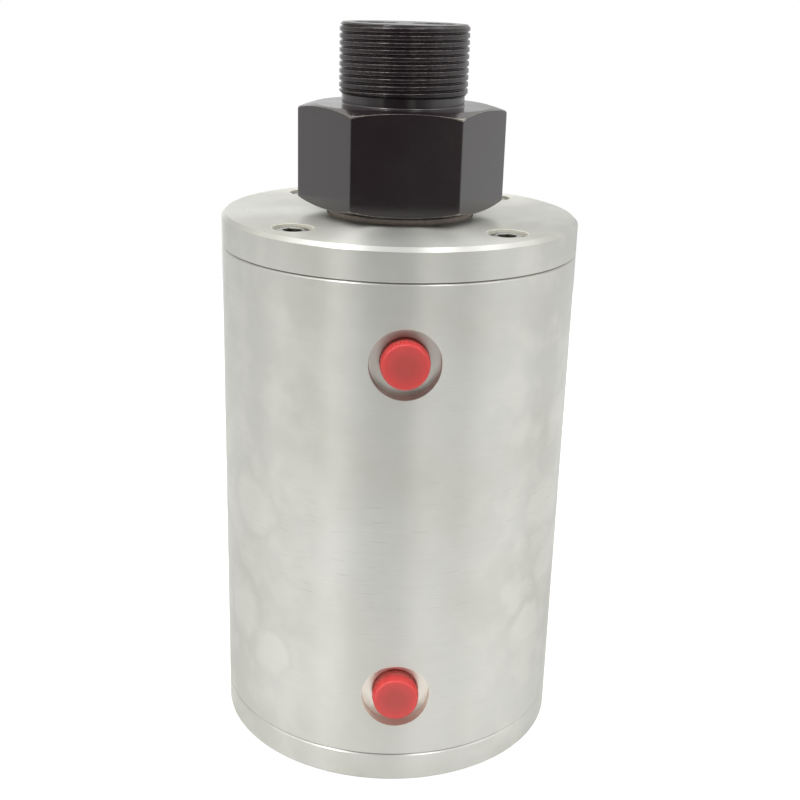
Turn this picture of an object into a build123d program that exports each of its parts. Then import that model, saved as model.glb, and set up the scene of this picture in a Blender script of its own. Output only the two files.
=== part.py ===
"""Two-passage hydraulic rotary union, in millimetres.

A round aluminium housing closed by two bolted covers carries a black steel rotor on two
deep-groove ball bearings. Each side port of the housing opens into a ring channel round the
rotor, and a bore in the rotor takes the oil from that channel to the rotor's top face.
The rotor's axis is +Z, the base of the housing stands on Z = 0 and the side ports face -Y.
"""

import os
from math import cos, radians, sin, sqrt, tan

from build123d import *

# Housing and covers
housing_length = 150.0
top_cover_thickness = 10.0
bottom_cover_thickness = 9.0
rim_chamfer = 1.2
seam_chamfer = 0.45
base_chamfer = 0.4

# Rotor outside the housing
hex_across_flats = 55.0
hex_height = 30.0
hex_gap = 2.6
hex_chamfer_angle = 15.0
hex_chamfer_inset = 0.95
hex_corner_radius = 0.6
thread_d = 39.0
thread_length = 20.5
thread_chamfer = 0.8
relief_depth = 0.95
relief_length = 2.9
relief_fillet = 0.4

# Rotor inside the housing: the shaft steps down from the collar to its lower end
top_bore_d = 40.0
collar_step = 1.5
land_step = 1.0
bottom_journal_step = 1.5
rotor_end_gap = 3.5
rotor_end_chamfer = 1.0
journal_lead = 0.5

# Bearings: thickness from bore to outside, width and balls of each
top_bearing_section = 11.0
top_bearing_width = 12.0
top_balls = 14
bottom_bearing_section = 10.0
bottom_bearing_width = 10.0
bottom_balls = 14
cover_register = 1.75
race_chamfer = 0.6
ball_share = 0.56
shoulder_share = 0.3
groove_slack_share = 0.02
cage_share = 0.2
cage_rim = 1.0
ball_play = 0.02
pocket_play = 0.1

# Retaining ring on the rotor's lower end
clip_thickness = 1.5
clip_groove_depth = 1.0
clip_width = 3.4
clip_lug_d = 4.6
clip_hole_d = 2.0
clip_gap_angle = 50.0

# Side ports, G 1/4, and the ring channels behind them
spotface_d = 20.7
spotface_depth = 4.2
port_thread_d = 11.445
port_thread_height = 0.88
port_mouth_chamfer = 0.5
plugged_depth = 5.2
free_thread_length = 8.0
passage_d = 8.0
channel_margin = 0.5
channel_depth = 4.0
relief_bore_play = 1.5
relief_bore_inset = 6.0

# Rotor passages
rotor_port_offset = 8.5
rotor_port_depth = 13.0
rotor_port_chamfer = 0.8
drill_overrun = 1.5

# Plugs in the side ports
plug_lip = 0.55
plug_taper = 0.45
plug_head_height = 3.3
plug_stand_off = 3.1
plug_tip_gap = 0.3
plug_wall = 1.8
plug_rounding = 0.4
plug_ribs = 60
plug_rib_depth = 0.3

# Rotary seals: a slide ring pressed on the rotor by an O-ring
seal_groove_width = 3.2
seal_groove_depth = 3.6
seal_offset = 3.0
seal_wall = 2.05
slide_ring_thickness = 1.7
slide_ring_play = 0.1
energiser_play = 0.25

# Wiper in the top cover, with its lip standing out through the cover's face
wiper_thickness = 5.0
wiper_height = 3.0
wiper_cover_lip = 1.75
wiper_lip_height = 1.4
wiper_lip_thickness = 0.9
wiper_lip_play = 0.15
wiper_root_gap = 0.8
cover_bore_play = 0.5
race_relief = 1.0
race_seat_width = 3.5

# Cover O-rings, in grooves in the housing's end faces
o_ring_wall = 2.5
o_ring_groove_width = 3.4
o_ring_groove_depth = 2.1
o_ring_play = 0.25
squash_rounding = 0.4

# Cover screws, M6: from the bearing's seat to their centres, and on to the body's side
screw_reach = 12.5
screw_edge = 11.5
screw_count = 4
screw_start_angle = 42.5
screw_d = 6.0
screw_length = 18.0
screw_head_d = 10.0
screw_head_height = 6.0
screw_socket = 5.0
screw_socket_depth = 3.0
screw_head_chamfer = 0.5
screw_head_sink = 0.6
screw_bottom_gap = 2.0

# Clearances on the radius
running_play = 0.05
seat_play = 0.02
stem_play = 0.1
screw_play = 0.05
screw_hole_play = 0.3
screw_head_play = 1.0

# Diameters of the rotor, the bearings and what is fitted to them
collar_d = top_bore_d + 2 * collar_step
land_d = top_bore_d - 2 * land_step
bottom_bore_d = land_d - 2 * bottom_journal_step
relief_d = thread_d - 2 * relief_depth
hex_corner_r = hex_across_flats / 2 / cos(radians(30))
top_race_d = top_bore_d + 2 * top_bearing_section
bottom_race_d = bottom_bore_d + 2 * bottom_bearing_section
race_relief_d = top_race_d - 2 * race_seat_width
bore_d = land_d + 2 * running_play
wiper_groove_d = collar_d + 2 * wiper_thickness
wiper_lip_d = collar_d + 2 * (running_play + wiper_lip_thickness)
clip_inner_d = bottom_bore_d - 2 * clip_groove_depth
clip_pocket_d = clip_inner_d + 2 * clip_width + clip_lug_d + 2 * pocket_play
top_o_ring_groove_d = top_race_d + 2 * o_ring_wall
bottom_o_ring_groove_d = bottom_race_d + 2 * o_ring_wall

# The housing is as wide as its bearings, screws and walls need
screw_circle_d = top_race_d + 2 * screw_reach
body_d = screw_circle_d + 2 * screw_edge
body_r = body_d / 2
counterbore_d = screw_head_d + 2 * screw_head_play
counterbore_depth = screw_head_height + screw_head_sink
screw_hole_d = screw_d + 2 * screw_hole_play

# Ports and plugs, as distances from the rotor's axis
port_mouth_d = port_thread_d + 2 * port_thread_height
channel_width = passage_d + 2 * channel_margin
spotface_r = body_r - spotface_depth
free_thread_start_r = spotface_r - plugged_depth
free_thread_end_r = free_thread_start_r - free_thread_length
plug_stem_d = port_mouth_d - 2 * stem_play
plug_head_d = port_mouth_d + 2 * plug_lip
plug_face_d = plug_head_d - 2 * plug_taper
plug_tip_r = free_thread_start_r + plug_tip_gap
plug_head_base_r = spotface_r + plug_stand_off
plug_face_r = plug_head_base_r + plug_head_height

# Heights
housing_bottom = bottom_cover_thickness
housing_top = housing_bottom + housing_length
body_top = housing_top + top_cover_thickness
hex_bottom = body_top + hex_gap
hex_top = hex_bottom + hex_height
thread_bottom = hex_top + relief_length
rotor_top = thread_bottom + thread_length
top_bearing_top = housing_top + cover_register
top_bearing_bottom = top_bearing_top - top_bearing_width
bottom_bearing_bottom = housing_bottom - cover_register
bottom_bearing_top = bottom_bearing_bottom + bottom_bearing_width
seal_stack = seal_groove_width + seal_offset + channel_width / 2
upper_port_z = top_bearing_bottom - seal_wall - seal_stack
lower_port_z = bottom_bearing_top + seal_wall + seal_stack
wiper_top = body_top - wiper_cover_lip
wiper_bottom = wiper_top - wiper_height

os.makedirs("parts", exist_ok=True)


def port_plane(height, distance):
    """Plane square to the side ports' axis, at a height and a distance from the rotor's axis."""
    return Plane(origin=(0, -distance, height), x_dir=(1, 0, 0), z_dir=(0, -1, 0))


def round_bar(diameter, bottom, top, mode=Mode.ADD):
    """Add or cut a round bar about the rotor's axis in the part being built."""
    with BuildSketch(Plane.XY.offset(bottom)) as section:
        Circle(diameter / 2)
    extrude(section.sketch, amount=top - bottom, mode=mode)


def ring_cut(inner_d, outer_d, bottom, top):
    """Cut a ring groove about the rotor's axis from the part being built."""
    with BuildSketch(Plane.XY.offset(bottom)) as section:
        Circle(outer_d / 2)
        Circle(inner_d / 2, mode=Mode.SUBTRACT)
    extrude(section.sketch, amount=top - bottom, mode=Mode.SUBTRACT)


def side_bore(height, diameter, start, end):
    """Cut a round hole along the side ports' axis between two distances from the rotor's axis."""
    with BuildSketch(port_plane(height, start)) as section:
        Circle(diameter / 2)
    extrude(section.sketch, amount=end - start, mode=Mode.SUBTRACT)


def edges_at(shape, height, radius):
    """Round edges of a shape at one height, centred on the rotor's axis."""
    found = shape.edges().filter_by(GeomType.CIRCLE)
    return found.filter_by(
        lambda edge: abs(edge.center().Z - height) < 1e-4 and abs(edge.radius - radius) < 1e-4
    )


def save(shape, label):
    """Name a finished piece and write it."""
    shape.part.label = label
    export_step(shape.part, f"parts/{label}.step")


# Housing
with BuildPart() as housing:
    round_bar(body_d, housing_bottom, housing_top)
    rims = edges_at(housing, housing_bottom, body_r) + edges_at(housing, housing_top, body_r)
    chamfer(rims, length=seam_chamfer)
    round_bar(bore_d, housing_bottom, housing_top, Mode.SUBTRACT)
    round_bar(top_race_d, top_bearing_bottom, housing_top, Mode.SUBTRACT)
    round_bar(bottom_race_d, housing_bottom, bottom_bearing_top, Mode.SUBTRACT)
    # Two side ports, each opening into its own ring channel
    for port_z in (upper_port_z, lower_port_z):
        ring_cut(
            land_d,
            bore_d + 2 * channel_depth,
            port_z - channel_width / 2,
            port_z + channel_width / 2,
        )
        side_bore(port_z, passage_d, bore_d / 2, free_thread_end_r)
        side_bore(port_z, port_thread_d, free_thread_end_r, free_thread_start_r)
        side_bore(port_z, port_mouth_d, free_thread_start_r, spotface_r)
        side_bore(port_z, spotface_d, spotface_r, body_r + 1)
        mouths = housing.edges().filter_by(GeomType.CIRCLE).filter_by(
            lambda edge: abs(edge.center().Y + spotface_r) < 1e-4
            and abs(edge.center().Z - port_z) < 1e-4
            and abs(edge.radius - port_mouth_d / 2) < 1e-4
        )
        chamfer(mouths, length=port_mouth_chamfer)
        # Rotary seal grooves above and below the channel
        for side in (1, -1):
            near = port_z + side * (channel_width / 2 + seal_offset)
            far = near + side * seal_groove_width
            ring_cut(land_d, bore_d + 2 * seal_groove_depth, min(near, far), max(near, far))
    # The bore is opened out between the two sets of seals, where nothing runs
    ring_cut(
        land_d,
        bore_d + 2 * relief_bore_play,
        lower_port_z + seal_stack + relief_bore_inset,
        upper_port_z - seal_stack - relief_bore_inset,
    )
    # O-ring grooves in the end faces
    for groove_d, low in (
        (top_o_ring_groove_d, housing_top - o_ring_groove_depth),
        (bottom_o_ring_groove_d, housing_bottom),
    ):
        ring_cut(groove_d, groove_d + 2 * o_ring_groove_width, low, low + o_ring_groove_depth)
    # Tapped holes for the cover screws
    tapped_r = screw_d / 2 + screw_play
    screw_hole_length = screw_length + screw_bottom_gap
    top_tapped_depth = screw_hole_length - (top_cover_thickness - counterbore_depth)
    bottom_tapped_depth = screw_hole_length - (bottom_cover_thickness - counterbore_depth)
    with Locations(Plane.XY.offset(housing_top)):
        with PolarLocations(screw_circle_d / 2, screw_count, screw_start_angle):
            Hole(tapped_r, depth=top_tapped_depth)
    with Locations(Plane.XY.offset(housing_bottom + bottom_tapped_depth)):
        with PolarLocations(screw_circle_d / 2, screw_count, screw_start_angle):
            Hole(tapped_r, depth=bottom_tapped_depth)
save(housing, "housing")

# Top cover: located on the bearing's outer race, with the wiper's groove in its bore
with BuildPart() as top_cover:
    round_bar(body_d, housing_top, body_top)
    chamfer(edges_at(top_cover, body_top, body_r), length=rim_chamfer)
    chamfer(edges_at(top_cover, housing_top, body_r), length=seam_chamfer)
    round_bar(collar_d + 2 * cover_bore_play, housing_top, body_top, Mode.SUBTRACT)
    round_bar(top_race_d, housing_top, top_bearing_top, Mode.SUBTRACT)
    round_bar(race_relief_d, top_bearing_top, top_bearing_top + race_relief, Mode.SUBTRACT)
    ring_cut(collar_d, wiper_groove_d, wiper_bottom, wiper_top)
    round_bar(wiper_lip_d + 2 * wiper_lip_play, wiper_top, body_top, Mode.SUBTRACT)
    with Locations(Plane.XY.offset(body_top)):
        with PolarLocations(screw_circle_d / 2, screw_count, screw_start_angle):
            CounterBoreHole(screw_hole_d / 2, counterbore_d / 2, counterbore_depth)
save(top_cover, "top_cover")

# Bottom cover: the same plate, closed, with a pocket for the rotor's lower end
with BuildPart() as bottom_cover:
    round_bar(body_d, 0, housing_bottom)
    chamfer(edges_at(bottom_cover, housing_bottom, body_r), length=seam_chamfer)
    chamfer(edges_at(bottom_cover, 0, body_r), length=base_chamfer)
    round_bar(bottom_race_d, bottom_bearing_bottom, housing_bottom, Mode.SUBTRACT)
    pocket_floor = rotor_end_gap - race_relief
    round_bar(clip_pocket_d, pocket_floor, housing_bottom, Mode.SUBTRACT)
    with Locations(Plane.XY.rotated((180, 0, 0))):
        with PolarLocations(screw_circle_d / 2, screw_count, -screw_start_angle):
            CounterBoreHole(screw_hole_d / 2, counterbore_d / 2, counterbore_depth)
save(bottom_cover, "bottom_cover")


def cover_screws(face, outwards):
    """Four socket head cap screws whose heads sit in the counterbores of one cover."""
    seat = face - outwards * counterbore_depth
    seat_plane = Plane(origin=(0, 0, seat), x_dir=(1, 0, 0), z_dir=(0, 0, outwards))
    start_angle = outwards * screw_start_angle
    with BuildPart() as screws:
        with Locations(seat_plane):
            with PolarLocations(screw_circle_d / 2, screw_count, start_angle):
                Cylinder(
                    screw_head_d / 2,
                    screw_head_height,
                    align=(Align.CENTER, Align.CENTER, Align.MIN),
                )
        tops = screws.faces().filter_by(GeomType.PLANE)
        tops = tops.filter_by(
            lambda f: abs(f.center().Z - seat - outwards * screw_head_height) < 1e-4
        )
        chamfer(tops.edges(), length=screw_head_chamfer)
        with Locations(seat_plane):
            with PolarLocations(screw_circle_d / 2, screw_count, start_angle):
                Cylinder(
                    screw_d / 2,
                    screw_length,
                    align=(Align.CENTER, Align.CENTER, Align.MAX),
                )
        with BuildSketch(seat_plane.offset(screw_head_height)) as sockets:
            with PolarLocations(screw_circle_d / 2, screw_count, start_angle):
                RegularPolygon(screw_socket / 2, 6, major_radius=False)
        extrude(sockets.sketch, amount=-screw_socket_depth, mode=Mode.SUBTRACT)
    return screws


save(cover_screws(body_top, 1), "top_cover_screws")
save(cover_screws(0, -1), "bottom_cover_screws")

# Rotor: one steel turning with a hexagon, a threaded end and two drilled passages
with BuildPart() as rotor:
    with BuildSketch(Plane.XY.offset(hex_bottom)):
        RegularPolygon(hex_across_flats / 2, 6, major_radius=False)
    extrude(amount=hex_height)
    fillet(rotor.edges().filter_by(Axis.Z), hex_corner_radius)
    # Both ends of the hexagon are turned to a cone, which rounds off its corners
    cone_start = hex_across_flats / 2 - hex_chamfer_inset
    cone_drop = (hex_corner_r + 1 - cone_start) * tan(radians(hex_chamfer_angle))
    with BuildSketch(Plane.XZ) as lens:
        with BuildLine():
            Polyline(
                (0, hex_bottom),
                (cone_start, hex_bottom),
                (hex_corner_r + 1, hex_bottom + cone_drop),
                (hex_corner_r + 1, hex_top - cone_drop),
                (cone_start, hex_top),
                (0, hex_top),
                close=True,
            )
        make_face()
    revolve(lens.sketch, axis=Axis.Z, mode=Mode.INTERSECT)
    # Threaded end, with its runout groove under it
    round_bar(relief_d, hex_top, thread_bottom)
    fillet(edges_at(rotor, hex_top, relief_d / 2), relief_fillet)
    round_bar(thread_d, thread_bottom, rotor_top)
    chamfer(edges_at(rotor, rotor_top, thread_d / 2), length=thread_chamfer)
    # Stepped shaft inside the housing
    round_bar(collar_d, top_bearing_top, hex_bottom)
    round_bar(top_bore_d, top_bearing_bottom + journal_lead, top_bearing_top)
    round_bar(land_d, bottom_bearing_top, top_bearing_bottom + journal_lead)
    round_bar(bottom_bore_d, rotor_end_gap, bottom_bearing_top)
    chamfer(edges_at(rotor, rotor_end_gap, bottom_bore_d / 2), length=rotor_end_chamfer)
    ring_cut(
        clip_inner_d,
        bottom_bore_d + 1,
        bottom_bearing_bottom - clip_thickness,
        bottom_bearing_bottom,
    )
    # One passage to each ring channel: a threaded port, a long drilling and a cross drilling
    for side, port_z in ((1, upper_port_z), (-1, lower_port_z)):
        centre = side * rotor_port_offset
        drilling_end = port_z - passage_d / 2 - drill_overrun
        with BuildSketch(Plane.XY.offset(drilling_end)) as drilling:
            with Locations((centre, 0)):
                Circle(passage_d / 2)
        extrude(drilling.sketch, amount=rotor_top - drilling_end, mode=Mode.SUBTRACT)
        with BuildSketch(Plane.XY.offset(rotor_top)) as mouth:
            with Locations((centre, 0)):
                Circle(port_thread_d / 2)
        extrude(mouth.sketch, amount=-rotor_port_depth, mode=Mode.SUBTRACT)
        rims = rotor.edges().filter_by(GeomType.CIRCLE).filter_by(
            lambda edge: abs(edge.arc_center.X - centre) < 1e-4
            and abs(edge.center().Z - rotor_top) < 1e-4
        )
        chamfer(rims, length=rotor_port_chamfer)
        outlet = Plane(origin=(centre, 0, port_z), x_dir=(0, 1, 0), z_dir=(side, 0, 0))
        with BuildSketch(outlet) as cross:
            Circle(passage_d / 2)
        extrude(cross.sketch, amount=land_d / 2, mode=Mode.SUBTRACT)
save(rotor, "rotor")


def race_groove(pitch_r, ball, middle, side):
    """Cut the ball groove of a race from the part being built, side 1 for the outer race."""
    groove_r = (0.5 + groove_slack_share) * ball
    centre = pitch_r + side * (ball / 2 + ball_play - groove_r)
    with BuildSketch(Plane.XZ) as section:
        with Locations((centre, middle)):
            Circle(groove_r)
    revolve(section.sketch, axis=Axis.Z, mode=Mode.SUBTRACT)


def bearing(name, bore, section, width, count, bottom):
    """Write the four pieces of a deep-groove ball bearing that stands at one height."""
    race = bore + 2 * section
    ball = ball_share * section
    pitch_r = (bore + section) / 2
    inner_shoulder = pitch_r - shoulder_share * ball
    outer_shoulder = pitch_r + shoulder_share * ball
    middle = bottom + width / 2
    top = bottom + width
    with BuildPart() as outer_race:
        round_bar(race - 2 * seat_play, bottom, top)
        outer_rims = edges_at(outer_race, bottom, race / 2 - seat_play)
        outer_rims += edges_at(outer_race, top, race / 2 - seat_play)
        chamfer(outer_rims, length=race_chamfer)
        round_bar(2 * outer_shoulder, bottom, top, Mode.SUBTRACT)
        race_groove(pitch_r, ball, middle, 1)
    save(outer_race, f"{name}_outer_race")

    with BuildPart() as inner_race:
        round_bar(2 * inner_shoulder, bottom, top)
        round_bar(bore + 2 * seat_play, bottom, top, Mode.SUBTRACT)
        bore_rims = edges_at(inner_race, bottom, bore / 2 + seat_play)
        bore_rims += edges_at(inner_race, top, bore / 2 + seat_play)
        chamfer(bore_rims, length=race_chamfer)
        race_groove(pitch_r, ball, middle, -1)
    save(inner_race, f"{name}_inner_race")

    with BuildPart() as balls:
        with Locations(Plane.XY.offset(middle)):
            with PolarLocations(pitch_r, count):
                Sphere(ball / 2)
    save(balls, f"{name}_balls")

    with BuildPart() as cage:
        half = ball / 2 + pocket_play + cage_rim
        round_bar(2 * (pitch_r + cage_share * ball), middle - half, middle + half)
        round_bar(2 * (pitch_r - cage_share * ball), middle - half, middle + half, Mode.SUBTRACT)
        with Locations(Plane.XY.offset(middle)):
            with PolarLocations(pitch_r, count):
                Cylinder(ball / 2 + pocket_play, ball, rotation=(0, 90, 0), mode=Mode.SUBTRACT)
    save(cage, f"{name}_cage")


bearing(
    "top_bearing",
    top_bore_d,
    top_bearing_section,
    top_bearing_width,
    top_balls,
    top_bearing_bottom,
)
bearing(
    "bottom_bearing",
    bottom_bore_d,
    bottom_bearing_section,
    bottom_bearing_width,
    bottom_balls,
    bottom_bearing_bottom,
)

# Retaining ring that holds the bottom bearing on the rotor
with BuildPart() as retaining_ring:
    with BuildSketch(Plane.XY.offset(bottom_bearing_bottom - clip_thickness)) as clip:
        clip_r = clip_inner_d / 2 + seat_play
        Circle(clip_r + clip_width)
        Circle(clip_r, mode=Mode.SUBTRACT)
        half_gap = clip_gap_angle / 2
        reach = body_r / cos(radians(half_gap))
        with BuildLine():
            Polyline(
                (0, 0),
                (reach * cos(radians(half_gap)), reach * sin(radians(half_gap))),
                (reach * cos(radians(half_gap)), -reach * sin(radians(half_gap))),
                close=True,
            )
        make_face(mode=Mode.SUBTRACT)
        lug_r = clip_inner_d / 2 + clip_width
        with PolarLocations(lug_r, 2, -half_gap, 2 * half_gap, endpoint=True):
            Circle(clip_lug_d / 2)
        with PolarLocations(lug_r, 2, -half_gap, 2 * half_gap, endpoint=True):
            Circle(clip_hole_d / 2, mode=Mode.SUBTRACT)
        Circle(clip_r, mode=Mode.SUBTRACT)
    extrude(clip.sketch, amount=clip_thickness)
save(retaining_ring, "retaining_ring")


def squashed_ring(inner_r, outer_r, bottom, top):
    """Rubber ring of a rounded section, as it lies pressed in its groove."""
    rounding = squash_rounding * min(outer_r - inner_r, top - bottom)
    with BuildPart() as ring:
        with BuildSketch(Plane.XZ) as section:
            with Locations(((inner_r + outer_r) / 2, (bottom + top) / 2)):
                RectangleRounded(outer_r - inner_r, top - bottom, rounding)
        revolve(section.sketch, axis=Axis.Z)
    return ring


# Rotary seals: one above and one below each channel
for port_name, port_z in (("upper", upper_port_z), ("lower", lower_port_z)):
    for side_name, side in (("top", 1), ("bottom", -1)):
        seal_z = port_z + side * (channel_width / 2 + seal_offset + seal_groove_width / 2)
        slide_inner_r = land_d / 2 + running_play / 2
        slide_outer_r = slide_inner_r + slide_ring_thickness
        groove_floor_r = bore_d / 2 + seal_groove_depth
        with BuildPart() as slide_ring:
            low = seal_z - seal_groove_width / 2 + slide_ring_play
            high = seal_z + seal_groove_width / 2 - slide_ring_play
            round_bar(2 * slide_outer_r, low, high)
            round_bar(2 * slide_inner_r, low, high, Mode.SUBTRACT)
        save(slide_ring, f"{port_name}_passage_{side_name}_slide_ring")
        energiser = squashed_ring(
            slide_outer_r + seat_play,
            groove_floor_r - seat_play,
            seal_z - seal_groove_width / 2 + energiser_play,
            seal_z + seal_groove_width / 2 - energiser_play,
        )
        save(energiser, f"{port_name}_passage_{side_name}_energiser")

# Static seals between the housing and its covers
for label, groove_d, low in (
    ("top_cover_o_ring", top_o_ring_groove_d, housing_top - o_ring_groove_depth),
    ("bottom_cover_o_ring", bottom_o_ring_groove_d, housing_bottom),
):
    o_ring = squashed_ring(
        groove_d / 2 + o_ring_play,
        groove_d / 2 + o_ring_groove_width - o_ring_play,
        low,
        low + o_ring_groove_depth,
    )
    save(o_ring, label)

# Wiper round the collar, with its lip standing out of the cover
with BuildPart() as wiper:
    lip_r = collar_d / 2 + running_play
    root_r = wiper_groove_d / 2 - seat_play
    with BuildSketch(Plane.XZ) as section:
        with BuildLine():
            Polyline(
                (lip_r + wiper_root_gap, wiper_bottom),
                (root_r, wiper_bottom),
                (root_r, wiper_top - seat_play),
                (wiper_lip_d / 2, wiper_top - seat_play),
                (wiper_lip_d / 2, body_top + wiper_lip_height),
                (lip_r, body_top + wiper_lip_height),
                (lip_r, wiper_top - seat_play),
                close=True,
            )
        make_face()
    revolve(section.sketch, axis=Axis.Z)
save(wiper, "wiper")


def port_plug(height):
    """Hollow plastic plug with a tapered head, pushed into one side port."""
    with BuildPart() as plug:
        with BuildSketch(port_plane(height, plug_head_base_r)) as base:
            Circle(plug_head_d / 2)
        with BuildSketch(port_plane(height, plug_face_r)) as front:
            Circle(plug_face_d / 2)
        loft([base.sketch.face(), front.sketch.face()])
        rim = plug.edges().filter_by(GeomType.CIRCLE).sort_by(Axis.Y)[0]
        fillet(rim, plug_rounding)
        # Fine ribs round the head, which run out towards its face
        with BuildSketch(port_plane(height, plug_head_base_r)) as notches:
            with PolarLocations(plug_head_d / 2, plug_ribs):
                Rectangle(sqrt(2) * plug_rib_depth, sqrt(2) * plug_rib_depth, rotation=45)
        extrude(notches.sketch, amount=plug_head_height, mode=Mode.SUBTRACT)
        with BuildSketch(port_plane(height, plug_tip_r)) as stem:
            Circle(plug_stem_d / 2)
        extrude(stem.sketch, amount=plug_head_base_r - plug_tip_r)
        with BuildSketch(port_plane(height, plug_tip_r)) as hollow:
            Circle(plug_stem_d / 2 - plug_wall)
        extrude(hollow.sketch, amount=plug_face_r - plug_wall - plug_tip_r, mode=Mode.SUBTRACT)
    return plug


save(port_plug(upper_port_z), "upper_port_plug")
save(port_plug(lower_port_z), "lower_port_plug")
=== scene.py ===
"""Looks of a two-passage hydraulic rotary union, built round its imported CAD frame.

Shapes are worked out in millimetres, in the frame's own axes, and become metres when a mesh is made.
"""

import math

import bmesh
import bpy
import numpy as np
from mathutils import Matrix, Vector

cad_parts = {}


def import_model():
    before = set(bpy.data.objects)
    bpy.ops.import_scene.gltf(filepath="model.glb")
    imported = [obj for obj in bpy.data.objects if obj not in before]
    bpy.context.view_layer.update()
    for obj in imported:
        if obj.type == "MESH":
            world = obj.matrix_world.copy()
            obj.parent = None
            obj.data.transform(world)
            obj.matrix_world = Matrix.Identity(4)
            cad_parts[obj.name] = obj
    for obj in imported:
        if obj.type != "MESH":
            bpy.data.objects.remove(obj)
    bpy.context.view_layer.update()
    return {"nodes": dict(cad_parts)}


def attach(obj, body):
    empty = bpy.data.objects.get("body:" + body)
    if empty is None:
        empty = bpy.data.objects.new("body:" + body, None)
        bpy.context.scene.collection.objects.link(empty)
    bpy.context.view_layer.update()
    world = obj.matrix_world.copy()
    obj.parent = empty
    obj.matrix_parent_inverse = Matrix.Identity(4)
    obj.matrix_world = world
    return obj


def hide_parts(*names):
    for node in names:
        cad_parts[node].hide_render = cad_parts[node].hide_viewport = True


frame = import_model()

MM = 0.001
SEGMENTS = 256

# Housing and covers
BODY_R = 55.0
COVER = 9.0
HOUSING_TOP = 159.0
BODY_TOP = 169.0
SEAM_BREAK = 0.45
RIM_BREAK = 1.2
BASE_BREAK = 0.4
TOP_RACE_R = 31.0
TOP_SEAT_Z = 148.75
TOP_REGISTER_Z = 160.75
BOTTOM_RACE_R = 27.5
BOTTOM_SEAT_Z = 17.25
BOTTOM_REGISTER_Z = 7.25
BORE_R = 19.05
CHANNEL_R = 23.05
CHANNEL_HALF = 4.5
SEAL_R = 22.65
SEAL_NEAR = 7.5
SEAL_FAR = 10.7
RELIEF_BORE_R = 20.55
RELIEF_BORE_INSET = 6.0
TOP_O_RING_R = 33.5
BOTTOM_O_RING_R = 30.0
O_RING_WIDTH = 3.4
O_RING_DEPTH = 2.1
COVER_FACE_R = 51.0
COVER_BORE_R = 22.0
COVER_RECESS_R = 27.5
COVER_RECESS_Z = 161.75
BOTTOM_POCKET_R = 22.3
BOTTOM_POCKET_Z = 2.5

# Side ports
PORT_HEIGHTS = (30.0, 136.0)
SPOTFACE_R = 10.35
SPOTFACE_Y = 50.8
MOUTH_R = 6.6025
MOUTH_BREAK = 0.5
THREAD_START_Y = 45.6
THREAD_END_Y = 37.6
PORT_MINOR_R = 5.7225
PORT_MAJOR_R = 6.5785
PORT_PITCH = 1.337
PASSAGE_R = 4.0
PORT_POINTS = 80
PORT_PATCH = 13.0
PORT_BREAK = 0.12
BETWEEN_PORTS = sum(PORT_HEIGHTS) / 2
THREAD_END_SLOPE = 1.2

# Cover screws
SCREW_CIRCLE_R = 43.5
SCREW_ANGLES = (42.5, 132.5, 222.5, 312.5)
COUNTERBORE_R = 6.0
COUNTERBORE_DEPTH = 6.6
HOLE_BREAK = 0.2
CLEARANCE_R = 3.3
TAPPED_R = 3.05
TOP_TAPPED_DEPTH = 16.6
BOTTOM_TAPPED_DEPTH = 17.6
TAPPED_POINT = 1.6
SCREW_R = 3.0
SCREW_ROOT_R = 2.4
SCREW_CREST_R = 2.98
SCREW_PITCH = 1.0
SCREW_LENGTH = 18.0
SCREW_TAPER = 0.6
HEAD_R = 5.0
HEAD_FOOT_R = 4.8
SOCKET_FLAT_R = 2.5
SOCKET_MOUTH_R = 2.62

# Rotor
HEX_FLAT_R = 27.5
HEX_BOTTOM = 171.6
HEX_TOP = 201.6
HEX_CONE_R = 26.55
HEX_CONE_ANGLE = 15
COLLAR_R = 21.5
COLLAR_BREAK = 0.3
HEX_ROUND = 0.6
NECK_R = 18.55
NECK_FILLET = 0.4
THREAD_BOTTOM = 204.5
ROTOR_TOP = 225.0
THREAD_CREST_R = 19.4
THREAD_ROOT_R = 18.8
THREAD_TOP_R = 18.6
THREAD_PITCH = 2.0
ROTOR_PORT_X = 8.5
ROTOR_PORT_DEPTH = 13.0
PASSAGE_OVERRUN = 5.5
PASSAGE_POINT = 2.3
TOP_JOURNAL_R = 20.0
TOP_JOURNAL_LOW = 149.25
SHAFT_R = 19.0
BOTTOM_JOURNAL_R = 17.5
RING_GROOVE_R = 16.5
RING_GROOVE_LOW = 5.75
SHAFT_END = 3.5
SHAFT_BREAK = 1.0

# Wiper and plugs
WIPER_R = 26.48
WIPER_LOW = 164.25
WIPER_HIGH = 167.25
WIPER_LIP_R = 21.55
WIPER_LIP_OUTER_R = 22.45
WIPER_LIP_TOP = 170.4
PLUG_BASE_Y = 53.9
PLUG_FACE_Y = 57.2
PLUG_TIP_Y = 45.9
PLUG_BASE_R = 7.1525
PLUG_FACE_R = 6.7025
PLUG_STEM_R = 6.5025
PLUG_WALL = 1.8
PLUG_RIBS = 64


# Shapes

def ring(radius, height, count=SEGMENTS):
    """Points of a level circle about the axis, from the side that faces -Y."""
    angle = np.radians(-90) + np.linspace(0, 2 * np.pi, count, endpoint=False)
    return np.stack([radius * np.cos(angle), radius * np.sin(angle), np.full(count, height)], 1)


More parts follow.
